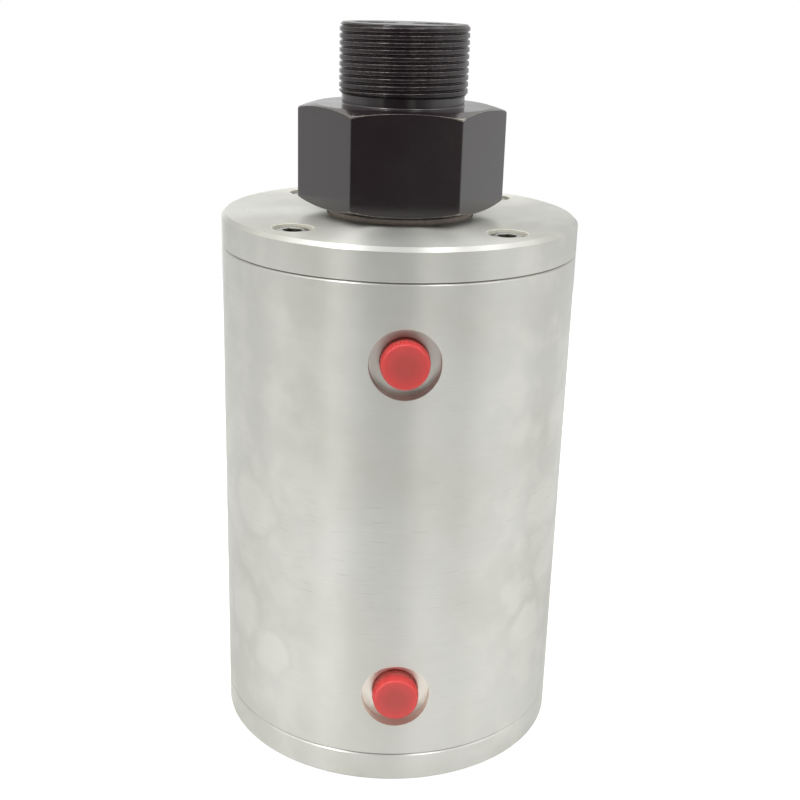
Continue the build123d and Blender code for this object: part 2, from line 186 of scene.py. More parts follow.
def eased(profile, radius):
    """A profile of (radius, height) points with its corners rounded by three chords."""
    points = [np.array(p[:2], float) for p in profile]
    out = [points[0]]
    for index in range(1, len(points) - 1):
        here = points[index]
        own = profile[index][2] if len(profile[index]) > 2 else radius
        back, ahead = points[index - 1] - here, points[index + 1] - here
        back_length, ahead_length = np.linalg.norm(back), np.linalg.norm(ahead)
        back, ahead = back / back_length, ahead / ahead_length
        between = math.acos(max(-1.0, min(1.0, float(back @ ahead))))
        if own <= 0 or between > math.radians(170):
            out.append(here)
            continue
        reach = min(own / math.tan(between / 2), 0.45 * back_length, 0.45 * ahead_length)
        first, last = here + back * reach, here + ahead * reach
        for share in (0.0, 1 / 3, 2 / 3, 1.0):
            blend = (1 - share) ** 2 * first + 2 * share * (1 - share) * here + share**2 * last
            out.append(blend)
    out.append(points[-1])
    return out


class Skin:
    """Faces of one piece, in millimetres, each with the number of its material."""

    def __init__(self):
        self.points, self.faces, self.marks, self.count = [], [], [], 0

    def add(self, points, faces, mark=0):
        self.points.append(np.asarray(points, float).reshape(-1, 3))
        self.faces += [[i + self.count for i in face] for face in faces]
        self.marks += [mark] * len(faces)
        self.count += len(self.points[-1])

    def grid(self, rows, mark=0, closed=True, hole=None):
        """Quads between neighbouring rows of points; hole(row, column) leaves some out."""
        rows = np.asarray(rows, float)
        deep, wide = rows.shape[:2]
        faces = []
        for i in range(deep - 1):
            for j in range(wide if closed else wide - 1):
                if hole is None or not hole(i, j):
                    k = (j + 1) % wide
                    faces.append((i * wide + j, i * wide + k, (i + 1) * wide + k, (i + 1) * wide + j))
        self.add(rows, faces, mark)

    def turn(self, profile, mark=0, count=SEGMENTS, place=None):
        """A surface of revolution of (radius, height) points."""
        rows = [ring(p[0], p[1], count) for p in profile]
        self.grid(rows if place is None else [place(r) for r in rows], mark)

    def fill(self, loops, mark=0):
        """A flat face inside the first loop of points, with the other loops as holes."""
        flat = bmesh.new()
        edges = []
        for loop in loops:
            corners = [flat.verts.new(p) for p in loop]
            edges += [flat.edges.new((a, b)) for a, b in zip(corners, corners[1:] + corners[:1])]
        bmesh.ops.triangle_fill(flat, use_beauty=True, use_dissolve=False, edges=edges)
        flat.verts.index_update()
        points = [v.co[:] for v in flat.verts]
        faces = [[v.index for v in f.verts] for f in flat.faces]
        flat.free()
        self.add(points, faces, mark)

    def copy_from(self, other, place):
        """Another skin's faces, moved by a function of their points."""
        self.add(place(np.concatenate(other.points)), other.faces)
        self.marks[-len(other.marks):] = other.marks


def port_place(height):
    """Moves points whose axis is +Z onto a side port's axis, with its height running out to -Y."""

    def place(points):
        return np.stack([points[:, 0], -points[:, 2], points[:, 1] + height], 1)

    return place


def wall_with_ports(skin, radius, levels, heights, hole_r, half_height):
    """An upright round wall with a round hole at each height, all on the side that faces -Y.

    Around each hole a patch of the wall's grid is laid out afresh, from its square rim to the hole.
    """
    half = PORT_POINTS // 8
    shares = np.linspace(-1, 1, 2 * half + 1)
    rows = sorted(set(levels) | {h + half_height * s for h in heights for s in shares})
    rows = [z for z in rows if z in levels or any(abs(z - h) <= half_height + 1e-6 for h in heights)]
    inside = [
        any(h - half_height - 1e-6 <= a and b <= h + half_height + 1e-6 for h in heights)
        for a, b in zip(rows, rows[1:])
    ]

    def in_patch(i, j):
        return inside[i] and (j < half or j >= SEGMENTS - half)

    skin.grid([ring(radius, z) for z in rows], hole=in_patch)
    step = 2 * math.pi * radius / SEGMENTS
    side = np.arange(-half, half) / half
    angle = port_angles()
    for height in heights:
        square = [(s, -1) for s in side] + [(1, s) for s in side]
        square += [(-s, 1) for s in side] + [(-1, -s) for s in side]
        square = np.array(square) * (half * step, half_height)
        circle = np.stack([radius * np.arcsin(hole_r * np.cos(angle) / radius), hole_r * np.sin(angle)], 1)
        patch = []
        for share in (0, 0.25, 0.5, 0.7, 0.85, 0.94, 1):
            flat = square * (1 - share) + circle * share
            turn = flat[:, 0] / radius + math.radians(-90)
            patch.append(np.stack([radius * np.cos(turn), radius * np.sin(turn), flat[:, 1] + height], 1))
        skin.grid(patch)


def port_angles():
    return np.radians(-135) + np.arange(PORT_POINTS) * 2 * np.pi / PORT_POINTS


def port_ring(radius, height, wall_r=None, sink=0.0, y=None):
    """Points round a side port, on a round wall and sunk in by some depth, or on a flat floor at y."""
    angle = port_angles()
    x, z = radius * np.cos(angle), radius * np.sin(angle) + height
    depth = np.sqrt(wall_r**2 - x**2) - sink if y is None else np.full(PORT_POINTS, y)
    return np.stack([x, -depth, z], 1)


# Forms of a thread over one pitch, as (share of the pitch, share of the height from root to crest)
SHARP_THREAD = (
    (0.0, 0), (0.08, 0), (0.13, 0.06), (0.41, 0.94), (0.44, 1),
    (0.56, 1), (0.59, 0.94), (0.87, 0.06), (0.92, 0),
)
ROUND_THREAD = (
    (0.0, 0), (0.04, 0.04), (0.08, 0.16), (0.18, 0.76), (0.22, 0.91), (0.28, 0.98), (0.38, 1),
    (0.62, 1), (0.72, 0.98), (0.78, 0.91), (0.82, 0.76), (0.92, 0.16), (0.96, 0.04),
)


def screw_thread(skin, pitch, root, crest, low, high, floor, ceiling,
                 place=None, count=SEGMENTS, mark=0, shape=SHARP_THREAD):
    """A helical thread between two heights. floor(z) and ceiling(z) bound its radius at its ends."""
    share_u = np.array([u for u, _ in shape] + [1.0])
    share_r = np.array([s for _, s in shape] + [shape[0][1]])
    angle = np.linspace(0, 2 * np.pi, count + 1)
    rows = []
    for run in range(-2, int((high - low) / pitch) + 2):
        for u, share in shape:
            z = np.clip(low + pitch * (run + u + angle / (2 * np.pi)), low, high)
            phase = np.mod((z - low) / pitch - angle / (2 * np.pi), 1.0)
            r = root + (crest - root) * np.interp(phase, share_u, share_r)
            free = (z > low) & (z < high)
            r = np.where(free, root + (crest - root) * share, r)
            r = np.clip(r, floor(z), ceiling(z))
            turned = angle - np.pi / 2
            rows.append(np.stack([r * np.cos(turned), r * np.sin(turned), z], 1))
    if place is not None:
        rows = [place(r) for r in rows]
    skin.grid(rows, mark, closed=False)


def port_thread(skin, bottom, top, mouth_r, place, mark=0):
    """A G 1/4 thread in a hole, cut down to its bore at the bottom and opened to mouth_r at the top."""
    opened = mouth_r - PORT_MINOR_R
    screw_thread(
        skin, PORT_PITCH, PORT_MINOR_R, PORT_MAJOR_R, bottom, top,
        lambda z: PORT_MINOR_R + np.clip(z - top + opened, 0, None),
        lambda z: PORT_MINOR_R + np.clip((z - bottom) * THREAD_END_SLOPE, 0, opened),
        place=place, count=PORT_POINTS, mark=mark,
    )


def stitch(skin, first, second):
    """A flat or round strip between two rings of points that differ in number, both in turning order."""
    def turned(points):
        angle = np.arctan2(points[:, 1], points[:, 0])
        order = np.argsort(angle)
        return points[order], angle[order]

    a, a_angle = turned(np.asarray(first))
    b, b_angle = turned(np.asarray(second))
    faces, i, j = [], 0, 0
    while i < len(a) or j < len(b):
        next_a = a_angle[i + 1] if i + 1 < len(a) else a_angle[(i + 1) % len(a)] + 2 * np.pi
        next_b = b_angle[j + 1] if j + 1 < len(b) else b_angle[(j + 1) % len(b)] + 2 * np.pi
        here_a, here_b = i % len(a), len(a) + j % len(b)
        if j >= len(b) or (i < len(a) and next_a <= next_b):
            faces.append((here_a, (i + 1) % len(a), here_b))
            i += 1
        else:
            faces.append((here_a, len(a) + (j + 1) % len(b), here_b))
            j += 1
    skin.add(np.concatenate([a, b]), faces)


def turn_about_z(degrees):
    c, s = math.cos(math.radians(degrees)), math.sin(math.radians(degrees))
    return np.array([[c, s, 0], [-s, c, 0], [0, 0, 1]])


def screw_positions():
    angles = [math.radians(a) for a in SCREW_ANGLES]
    return [(SCREW_CIRCLE_R * math.cos(a), SCREW_CIRCLE_R * math.sin(a)) for a in angles]


def end_face(skin, outer_r, inner_r, z, hole_r, count=64):
    """A level face between two circles, or inside one for inner_r 0, with a hole for each cover screw."""
    inner = [ring(inner_r, z)] if inner_r else []
    holes = [small_ring(x, y, hole_r, z, count) for x, y in screw_positions()]
    skin.fill([ring(outer_r, z)] + inner + holes)


def small_ring(x, y, radius, z, count=64):
    return ring(radius, z, count) + (x, y, 0)


def make(name, skin, materials, body, replaced, crease=44.0, wall_r=None):
    """Turns a skin into a piece that rides on a body and stands for CAD nodes.

    Its shading follows the larger faces, and on a round wall of radius wall_r it is exactly round.
    """
    mesh = bpy.data.meshes.new(name)
    mesh.from_pydata((np.concatenate(skin.points) * MM).tolist(), [], skin.faces)
    mesh.polygons.foreach_set("material_index", skin.marks)
    shape = bmesh.new()
    shape.from_mesh(mesh)
    bmesh.ops.remove_doubles(shape, verts=shape.verts, dist=2e-6)
    bmesh.ops.recalc_face_normals(shape, faces=shape.faces)
    for face in shape.faces:
        face.smooth = True
    for edge in shape.edges:
        edge.smooth = len(edge.link_faces) == 2 and edge.calc_face_angle(0) < math.radians(crease)
    open_edges = sum(1 for e in shape.edges if len(e.link_faces) != 2)
    shape.to_mesh(mesh)
    shape.free()
    piece = bpy.data.objects.new(name, mesh)
    bpy.context.scene.collection.objects.link(piece)
    for material in materials:
        mesh.materials.append(material)
    weighted = piece.modifiers.new("shading", "WEIGHTED_NORMAL")
    weighted.keep_sharp = True
    graph = bpy.context.evaluated_depsgraph_get()
    shaded = bpy.data.meshes.new_from_object(piece.evaluated_get(graph), depsgraph=graph)
    piece.modifiers.clear()
    piece.data = shaded
    shaded.name = name
    if wall_r is not None:
        corner = np.zeros(len(shaded.loops) * 3, np.float32)
        shaded.corner_normals.foreach_get("vector", corner)
        corner = corner.reshape(-1, 3)
        where = np.array([shaded.vertices[loop.vertex_index].co[:] for loop in shaded.loops])
        distance = np.hypot(where[:, 0], where[:, 1])
        for face in shaded.polygons:
            loops = list(face.loop_indices)
            if np.all(np.abs(distance[loops] - wall_r * MM) < 1e-6) and abs(face.normal.z) < 0.1:
                corner[loops, :2] = where[loops, :2] / distance[loops, None]
                corner[loops, 2] = 0
        shaded.normals_split_custom_set(corner.tolist())
    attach(piece, body)
    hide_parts(*replaced)
    print("piece", name, len(shaded.polygons), "faces,", open_edges, "open edges")
    return piece


# Materials

class Nodes:
    """Short names for the nodes of one material or world."""

    def __init__(self, owner):
        owner.use_nodes = True
        self.tree = owner.node_tree
        self.bsdf = self.tree.nodes.get("Principled BSDF")

    def new(self, kind, *inputs, **settings):
        node = self.tree.nodes.new("ShaderNode" + kind)
        for key, value in settings.items():
            setattr(node, key, value)
        for index, value in enumerate(inputs):
            self.put(node.inputs[index], value)
        return node

    def put(self, socket, value):
        if isinstance(value, bpy.types.Node):
            value = value.outputs[0]
        if isinstance(value, bpy.types.NodeSocket):
            self.tree.links.new(value, socket)
        elif value is not None:
            socket.default_value = value

    def math(self, operation, *inputs):
        return self.new("Math", *inputs, operation=operation).outputs[0]

    def length(self, a, b):
        """The length of two sides at right angles, taken together."""
        squares = self.math("ADD", self.math("MULTIPLY", a, a), self.math("MULTIPLY", b, b))
        return self.math("SQRT", squares)

    def noise(self, vector, scale, detail=3.0, roughness=0.5):
        node = self.new("TexNoise")
        self.put(node.inputs["Vector"], vector)
        node.inputs["Scale"].default_value = scale
        node.inputs["Detail"].default_value = detail
        node.inputs["Roughness"].default_value = roughness
        return node.outputs["Fac"]

    def between(self, value, low, high, first, last):
        """Value brought from low..high to first..last, held at the ends."""
        node = self.new("MapRange", value, low, high, first, last, clamp=True)
        return node.outputs[0]

    def blend(self, factor, first, second):
        node = self.new("Mix", data_type="RGBA")
        self.put(node.inputs["Factor"], factor)
        self.put(node.inputs["A"], first)
        self.put(node.inputs["B"], second)
        return node.outputs["Result"]

    def bump(self, height, strength, distance, normal=None):
        node = self.new("Bump")
        self.put(node.inputs["Height"], height)
        node.inputs["Strength"].default_value = strength
        node.inputs["Distance"].default_value = distance
        self.put(node.inputs["Normal"], normal)
        return node.outputs["Normal"]

    def own(self):
        """The piece's own coordinates, in metres."""
        return self.new("TexCoord").outputs["Object"]

    def place(self):
        """The piece's own coordinates, and their x, y and z."""
        own = self.own()
        split = self.new("SeparateXYZ", own)
        return own, split.outputs[0], split.outputs[1], split.outputs[2]

    def from_point(self, own, point):
        return self.new("VectorMath", own, point, operation="DISTANCE").outputs["Value"]

    def port(self, x, z):
        """1 by the upper port and 0 by the lower one, the height over its axis and the distance from it."""
        upper = self.math("GREATER_THAN", z, BETWEEN_PORTS * MM)
        height = self.math("SUBTRACT", self.math("SUBTRACT", z, PORT_HEIGHTS[0] * MM),
                           self.math("MULTIPLY", upper, (PORT_HEIGHTS[1] - PORT_HEIGHTS[0]) * MM))
        return upper, height, self.length(x, height)

    def set(self, **values):
        for key, value in values.items():
            self.put(self.bsdf.inputs[key.replace("_", " ")], value)


def blank(name):
    material = bpy.data.materials.new(name)
    return material, Nodes(material)


def turned_lines(nodes, x, y, z, fineness, swing):
    """Noise that runs in rings round the axis, on walls and on end faces alike."""
    radius = nodes.length(x, y)
    around_x = nodes.math("MULTIPLY", nodes.math("DIVIDE", x, radius), swing)
    around_y = nodes.math("MULTIPLY", nodes.math("DIVIDE", y, radius), swing)
    along = nodes.math("MULTIPLY", nodes.math("ADD", z, radius), fineness)
    return nodes.new("CombineXYZ", around_x, around_y, along).outputs[0]


# Places where a hand has held the housing, as degrees round from the front, height and radius
HAND_MARKS = (
    (58, 84, 12), (62, 63, 10), (52, 42, 10), (64, 112, 9),
    (-54, 84, 11), (-62, 46, 11), (-44, 36, 9),
)


def aluminium():
    material, n = blank("turned_aluminium")
    own, x, y, z = n.place()
    lines = n.noise(turned_lines(n, x, y, z, 5200.0, 1.3), 1.0, 3.0, 0.6)
    bands = n.noise(turned_lines(n, x, y, z, 420.0, 0.8), 1.0, 2.0, 0.5)
    clouds = n.noise(own, 26.0, 4.0, 0.55)
    stains = n.noise(own, 78.0, 2.0, 0.5)
    tint = n.blend(n.between(clouds, 0.36, 0.62, 0.0, 1.0), (0.645, 0.645, 0.595, 1), (0.72, 0.722, 0.685, 1))
    sides = n.between(n.math("ABSOLUTE", x), 0.018, 0.036, 0.25, 1.0)
    fingers = n.math("MULTIPLY", n.between(stains, 0.47, 0.64, 0.0, 0.6), sides)
    for turn, height, size in HAND_MARKS:
        angle = math.radians(turn)
        spot = Vector((BODY_R * math.sin(angle), -BODY_R * math.cos(angle), height)) * MM
        uneven = n.math("MULTIPLY", n.math("SUBTRACT", stains, 0.5), 0.016)
        reach = n.math("ADD", n.from_point(own, spot), uneven)
        fingers = n.math("MAXIMUM", fingers, n.between(reach, size * 0.55 * MM, size * MM, 0.8, 0.0))
    tint = n.blend(fingers, tint, (0.80, 0.80, 0.745, 1))
    # Hairline scratches, most of them at half height
    turn = n.math("ARCTAN2", x, y)
    tilted = n.math("ADD", n.math("MULTIPLY", z, 1900.0), n.math("MULTIPLY", turn, 2.2))
    hair = n.noise(n.new("CombineXYZ", n.math("MULTIPLY", turn, 5.5), 0.0, tilted).outputs[0], 1.0, 1.0, 0.5)
    middle = n.math("MULTIPLY", n.between(z, 0.035, 0.06, 0.0, 1.0), n.between(z, 0.085, 0.12, 1.0, 0.15))
    scratched = n.math("MULTIPLY", n.between(hair, 0.64, 0.74, 0.0, 0.32), middle)
    tint = n.blend(scratched, tint, (0.40, 0.39, 0.36, 1))
    tint = n.blend(n.between(lines, 0.3, 0.7, 0.0, 0.35), tint, (0.63, 0.625, 0.575, 1))
    rough = n.math("ADD", n.between(clouds, 0.3, 0.7, 0.315, 0.36), n.between(lines, 0.3, 0.7, -0.02, 0.02))
    normal = n.bump(bands, 0.06, 0.00003)
    normal = n.bump(lines, 0.12, 0.00001, normal)
    tangent = n.new("Tangent", direction_type="RADIAL", axis="Z")
    # Painted shade in the two seams, on the side that looks down
    for seam in (COVER, HOUSING_TOP):
        above = n.between(z, (seam - 0.08) * MM, seam * MM, 0.0, 1.0)
        below = n.between(z, (seam + SEAM_BREAK - 0.1) * MM, (seam + SEAM_BREAK) * MM, 1.0, 0.0)
        tint = n.blend(n.math("MULTIPLY", above, below), tint, (0.25, 0.235, 0.20, 1))
    n.set(Base_Color=tint, Metallic=0.86, Roughness=rough, Normal=normal)
    n.set(Anisotropic=0.97, Anisotropic_Rotation=0.25, Tangent=tangent.outputs[0])
    return material


def port_aluminium():
    material, n = blank("milled_aluminium")
    own, x, y, z = n.place()
    upper, height, reach = n.port(x, z)
    rings = n.new("CombineXYZ", n.math("MULTIPLY", x, 40.0), n.math("MULTIPLY", height, 40.0),
                  n.math("MULTIPLY", n.math("ADD", reach, y), 5200.0)).outputs[0]
    lines = n.noise(rings, 1.0, 2.0, 0.5)
    clouds = n.noise(own, 190.0, 3.0, 0.5)
    # Painted light and shade: the upper spotface is painted greyer and the lower one paler
    tint = n.blend(upper, (0.9, 0.88, 0.80, 1), (0.65, 0.65, 0.60, 1))
    tint = n.blend(n.between(clouds, 0.35, 0.65, 0.0, 0.3), tint, (0.9, 0.89, 0.82, 1))
    n.set(Base_Color=tint, Metallic=0.85, Roughness=n.between(lines, 0.3, 0.7, 0.34, 0.44))
    n.set(Normal=n.bump(lines, 0.25, 0.00001))
    return material


def black_oxide():
    material, n = blank("blackened_steel")
    own, _, _, z = n.place()
    clouds = n.noise(own, 60.0, 4.0, 0.6)
    specks = n.noise(own, 900.0, 3.0, 0.6)
    dark, light = (0.0105, 0.004, 0.006, 1), (0.012, 0.006, 0.0075, 1)
    tint = n.blend(n.between(clouds, 0.35, 0.65, 0.0, 1.0), dark, light)
    rough = n.math("ADD", n.between(clouds, 0.3, 0.7, 0.14, 0.19), n.between(specks, 0.3, 0.7, -0.02, 0.03))
    # The turned end face is duller than the rest
    rough = n.math("ADD", rough, n.between(z, (ROTOR_TOP - 0.06) * MM, (ROTOR_TOP - 0.02) * MM, 0.0, 0.1))
    n.set(Base_Color=tint, Metallic=0.0, Roughness=rough, IOR=1.9)
    n.set(Normal=n.bump(specks, 0.05, 0.00001))
    return material


def thread_oxide():
    """Duller black than on the flats, rubbed a little brighter along the shoulders of the crests, which also
    paints in thin highlight lines there.
    """
    material, n = blank("blackened_steel_thread")
    own, x, y, _ = n.place()
    radius = n.length(x, y)
    specks = n.noise(own, 700.0, 3.0, 0.6)
    above_flank = n.between(radius, (THREAD_CREST_R - 0.09) * MM, (THREAD_CREST_R - 0.05) * MM, 0.0, 1.0)
    below_crest = n.between(radius, (THREAD_CREST_R - 0.02) * MM, (THREAD_CREST_R - 0.005) * MM, 1.0, 0.0)
    shoulder = n.math("MULTIPLY", above_flank, below_crest)
    # Wear and painted highlight along the shoulders of the crests
    wear_and_highlight = n.math("MULTIPLY", shoulder, n.between(specks, 0.42, 0.66, 0.0, 0.4))
    n.set(Base_Color=n.blend(wear_and_highlight, (0.016, 0.0095, 0.011, 1), (0.34, 0.31, 0.29, 1)), Metallic=wear_and_highlight)
    n.set(Roughness=n.between(specks, 0.3, 0.7, 0.11, 0.2), IOR=1.58, Normal=n.bump(specks, 0.05, 0.00001))
    return material


def worn_and_glinting_oxide():
    material, n = blank("blackened_steel_edge")
    own = n.own()
    specks = n.noise(own, 620.0, 4.0, 0.7)
    patches = n.noise(own, 130.0, 2.0, 0.5)
    wear_and_glint = n.math("MULTIPLY", n.between(specks, 0.36, 0.64, 0.2, 0.7), n.between(patches, 0.4, 0.6, 0.3, 1.0))
    # Painted highlight: a bright glint near the top of one corner of the hexagon, painted as bare worn metal
    corner = (HEX_FLAT_R * math.tan(math.radians(30)) * MM, -HEX_FLAT_R * MM, (HEX_TOP - 1.3) * MM)
    wear_and_glint = n.math("MAXIMUM", wear_and_glint, n.between(n.from_point(own, corner), 0.0008, 0.0032, 1.0, 0.0))
    # Chips low down on the left face
    foot = (-0.0225, -0.016, (HEX_BOTTOM + 0.3) * MM)
    near = n.between(n.from_point(own, foot), 0.002, 0.005, 1.0, 0.0)
    chips = n.math("MULTIPLY", near, n.between(specks, 0.46, 0.52, 0.0, 1.0))
    wear_and_glint = n.math("MAXIMUM", wear_and_glint, chips)
    n.set(Base_Color=n.blend(wear_and_glint, (0.03, 0.027, 0.027, 1), (0.42, 0.39, 0.34, 1)))
    n.set(Metallic=n.math("MULTIPLY", wear_and_glint, 0.8), Roughness=n.between(specks, 0.4, 0.7, 0.24, 0.34), IOR=1.6)
    return material


def steel(name, colour, rough, spread=0.05, scale=400.0):
    material, n = blank(name)
    clouds = n.noise(n.own(), scale, 3.0, 0.55)
    dark = tuple(c * 0.82 for c in colour[:3]) + (1,)
    n.set(Base_Color=n.blend(n.between(clouds, 0.35, 0.65, 0.0, 1.0), dark, colour), Metallic=1.0)
    n.set(Roughness=n.between(clouds, 0.3, 0.7, rough, rough + spread), Normal=n.bump(clouds, 0.05, 0.00001))
    return material


def plain(name, colour, rough, spread=0.1, scale=700.0, relief=0.1):
    """A plastic or rubber with a faint mottle and grain."""
    material, n = blank(name)
    grain = n.noise(n.own(), scale, 4.0, 0.6)
    dark = tuple(c * 0.85 for c in colour[:3]) + (1,)
    n.set(Base_Color=n.blend(n.between(grain, 0.35, 0.65, 0.0, 1.0), dark, colour))
    n.set(Roughness=n.between(grain, 0.3, 0.7, rough, rough + spread), Normal=n.bump(grain, relief, 0.00002))
    return material


def red_plastic():
    material, n = blank("red_plastic")
    own, x, y, z = n.place()
    reach = n.port(x, z)[2]
    mottle = n.noise(own, 420.0, 4.0, 0.6)
    creases = n.noise(n.new("Mapping", own, (0, 0, 0), (0, 0.35, 0), (1, 1, 2.6)), 330.0, 2.0, 0.5)
    # Painted shade: the middle of the plug's face is painted a darker red
    middle = n.between(reach, 0.0025, 0.0062, 1.0, 0.0)
    tint = n.blend(n.between(mottle, 0.35, 0.65, 0.0, 0.5), (0.71, 0.072, 0.068, 1), (0.63, 0.062, 0.057, 1))
    tint = n.blend(n.math("MULTIPLY", middle, 0.75), tint, (0.47, 0.066, 0.056, 1))
    # Painted light: the stem, shaded under the head, is painted paler than the head
    stem = n.between(y, -PLUG_BASE_Y * MM, (0.2 - PLUG_BASE_Y) * MM, 0.0, 1.0)
    tint = n.blend(stem, tint, (0.82, 0.18, 0.165, 1))
    n.set(Base_Color=tint, Roughness=n.between(mottle, 0.3, 0.7, 0.36, 0.46), IOR=1.5)
    n.set(Subsurface_Weight=0.3, Subsurface_Radius=(0.004, 0.0008, 0.0008), Subsurface_Scale=1.0)
    n.set(Normal=n.bump(creases, 0.5, 0.00008))
    return material


ALUMINIUM = aluminium()
PORT_ALUMINIUM = port_aluminium()
BLACK = black_oxide()
BLACK_EDGE = worn_and_glinting_oxide()
BLACK_THREAD = thread_oxide()
# Painted reflection: the counterbore walls are a pale cream diffuse finish, standing in for the bright light
# they reflect
DRILLED = plain("drilled_aluminium", (0.86, 0.84, 0.72, 1), 0.25, relief=0.05)
# Painted shade: the inside of each screw socket is painted a dark olive
SOCKET = steel("screw_socket", (0.10, 0.095, 0.07, 1), 0.4)
SCREW_STEEL = steel("screw_steel", (0.46, 0.46, 0.43, 1), 0.28)
BEARING_STEEL = steel("bearing_steel", (0.62, 0.62, 0.61, 1), 0.14)
SPRING_STEEL = steel("spring_steel", (0.14, 0.14, 0.15, 1), 0.30)
CAGE = plain("cage_plastic", (0.05, 0.14, 0.075, 1), 0.45)
PTFE = plain("seal_ptfe", (0.09, 0.30, 0.27, 1), 0.42)
RUBBER = plain("seal_rubber", (0.018, 0.018, 0.018, 1), 0.55)
WIPER_RUBBER = plain("wiper_rubber", (0.6, 0.5, 0.44, 1), 0.5, relief=0.2)
RED = red_plastic()


def coat(node, material):
    """Gives a CAD node that stays in the scene its material."""
    materials = frame["nodes"][node].data.materials
    materials.clear()
    materials.append(material)


coat("retaining_ring", SPRING_STEEL)
coat("top_cover_o_ring", RUBBER)
coat("bottom_cover_o_ring", RUBBER)
for bearing in ("top_bearing", "bottom_bearing"):
    for part in ("outer_race", "inner_race", "balls"):
        coat(f"{bearing}_{part}", BEARING_STEEL)
    coat(f"{bearing}_cage", CAGE)
for passage in ("upper_passage", "lower_passage"):
    for side in ("top", "bottom"):
        coat(f"{passage}_{side}_slide_ring", PTFE)
        coat(f"{passage}_{side}_energiser", RUBBER)


# Housing

def seal_groove(height, way):
    """Bore from a seal groove to the rim of its ring channel, above it for way 1 or below it for -1."""
    return [
        (BORE_R, height + way * SEAL_FAR),
        (SEAL_R, height + way * SEAL_FAR),
        (SEAL_R, height + way * SEAL_NEAR),
        (BORE_R, height + way * SEAL_NEAR),
        (BORE_R, height + way * CHANNEL_HALF),
        (CHANNEL_R, height + way * CHANNEL_HALF),
    ]


def housing():
    skin = Skin()
    low, high = PORT_HEIGHTS
    wall_low, wall_high = COVER + SEAM_BREAK, HOUSING_TOP - SEAM_BREAK
    edge_r = SPOTFACE_R + PORT_BREAK
    wall_with_ports(skin, BODY_R, [wall_low, BETWEEN_PORTS, wall_high], PORT_HEIGHTS, edge_r, PORT_PATCH)
    # Upper end face, with the O-ring groove and the tapped holes, and the bore down to the first channel
    skin.turn([(BODY_R, wall_high), (BODY_R - SEAM_BREAK, HOUSING_TOP)])
    groove_top = TOP_O_RING_R + O_RING_WIDTH
    end_face(skin, BODY_R - SEAM_BREAK, groove_top, HOUSING_TOP, TAPPED_R, 32)
    skin.turn([
        (groove_top, HOUSING_TOP),
        (groove_top, HOUSING_TOP - O_RING_DEPTH),
        (TOP_O_RING_R, HOUSING_TOP - O_RING_DEPTH),
        (TOP_O_RING_R, HOUSING_TOP),
        (TOP_RACE_R, HOUSING_TOP),
        (TOP_RACE_R, TOP_SEAT_Z),
        (BORE_R, TOP_SEAT_Z),
    ] + seal_groove(high, 1))
    # Bore between the channels
    relief_high, relief_low = high - SEAL_FAR - RELIEF_BORE_INSET, low + SEAL_FAR + RELIEF_BORE_INSET
    skin.turn(seal_groove(high, -1)[::-1] + [
        (BORE_R, relief_high),
        (RELIEF_BORE_R, relief_high),
        (RELIEF_BORE_R, relief_low),
        (BORE_R, relief_low),
    ] + seal_groove(low, 1))
    # Bore below the lower channel, and the lower end face
    groove_bottom = BOTTOM_O_RING_R + O_RING_WIDTH
    skin.turn(seal_groove(low, -1)[::-1] + [
        (BORE_R, BOTTOM_SEAT_Z),
        (BOTTOM_RACE_R, BOTTOM_SEAT_Z),
        (BOTTOM_RACE_R, COVER),
        (BOTTOM_O_RING_R, COVER),
        (BOTTOM_O_RING_R, COVER + O_RING_DEPTH),
        (groove_bottom, COVER + O_RING_DEPTH),
        (groove_bottom, COVER),
    ])
    end_face(skin, BODY_R - SEAM_BREAK, groove_bottom, COVER, TAPPED_R, 32)
    skin.turn([(BODY_R - SEAM_BREAK, COVER), (BODY_R, wall_low)])
    for x, y in screw_positions():
        for face, way, depth in ((HOUSING_TOP, -1, TOP_TAPPED_DEPTH), (COVER, 1, BOTTOM_TAPPED_DEPTH)):
            end = face + way * depth
            hole = ((TAPPED_R, face), (TAPPED_R, end), (0, end + way * TAPPED_POINT))
            skin.grid([small_ring(x, y, r, z, 32) for r, z in hole])
    for height in PORT_HEIGHTS:
        channel = [height - CHANNEL_HALF, height + CHANNEL_HALF]
        wall_with_ports(skin, CHANNEL_R, channel, [height], PASSAGE_R, CHANNEL_HALF)
        # Spotface and mouth
        rows = [
            port_ring(edge_r, height, BODY_R),
            port_ring(SPOTFACE_R + PORT_BREAK / 4, height, BODY_R, PORT_BREAK / 4),
            port_ring(SPOTFACE_R, height, BODY_R, PORT_BREAK),
        ]
        wall = port_ring(SPOTFACE_R, height, y=SPOTFACE_Y + 0.25)
        rows += [rows[-1] * (1 - s) + wall * s for s in (0.35, 0.7, 1.0)]
        mouth = (
            (SPOTFACE_R - 0.07, SPOTFACE_Y + 0.07),
            (SPOTFACE_R - 0.25, SPOTFACE_Y),
            (9.0, SPOTFACE_Y),
            (MOUTH_R + MOUTH_BREAK + 0.1, SPOTFACE_Y),
            (MOUTH_R + MOUTH_BREAK, SPOTFACE_Y - 0.03),
            (MOUTH_R, SPOTFACE_Y - MOUTH_BREAK),
            (MOUTH_R, THREAD_START_Y),
        )
        skin.grid(rows + [port_ring(r, height, y=y) for r, y in mouth], 1)
        # Thread, cone and passage
        port_thread(skin, THREAD_END_Y, THREAD_START_Y, MOUTH_R, port_place(height), mark=1)
        skin.grid([
            port_ring(PORT_MINOR_R, height, y=THREAD_END_Y),
            port_ring(PASSAGE_R, height, y=THREAD_END_Y - 1.0),
            port_ring(PASSAGE_R, height, CHANNEL_R),
        ], 1)
    finishes = [ALUMINIUM, PORT_ALUMINIUM]
    return make("housing_body", skin, finishes, "root", ["housing"], wall_r=BODY_R)


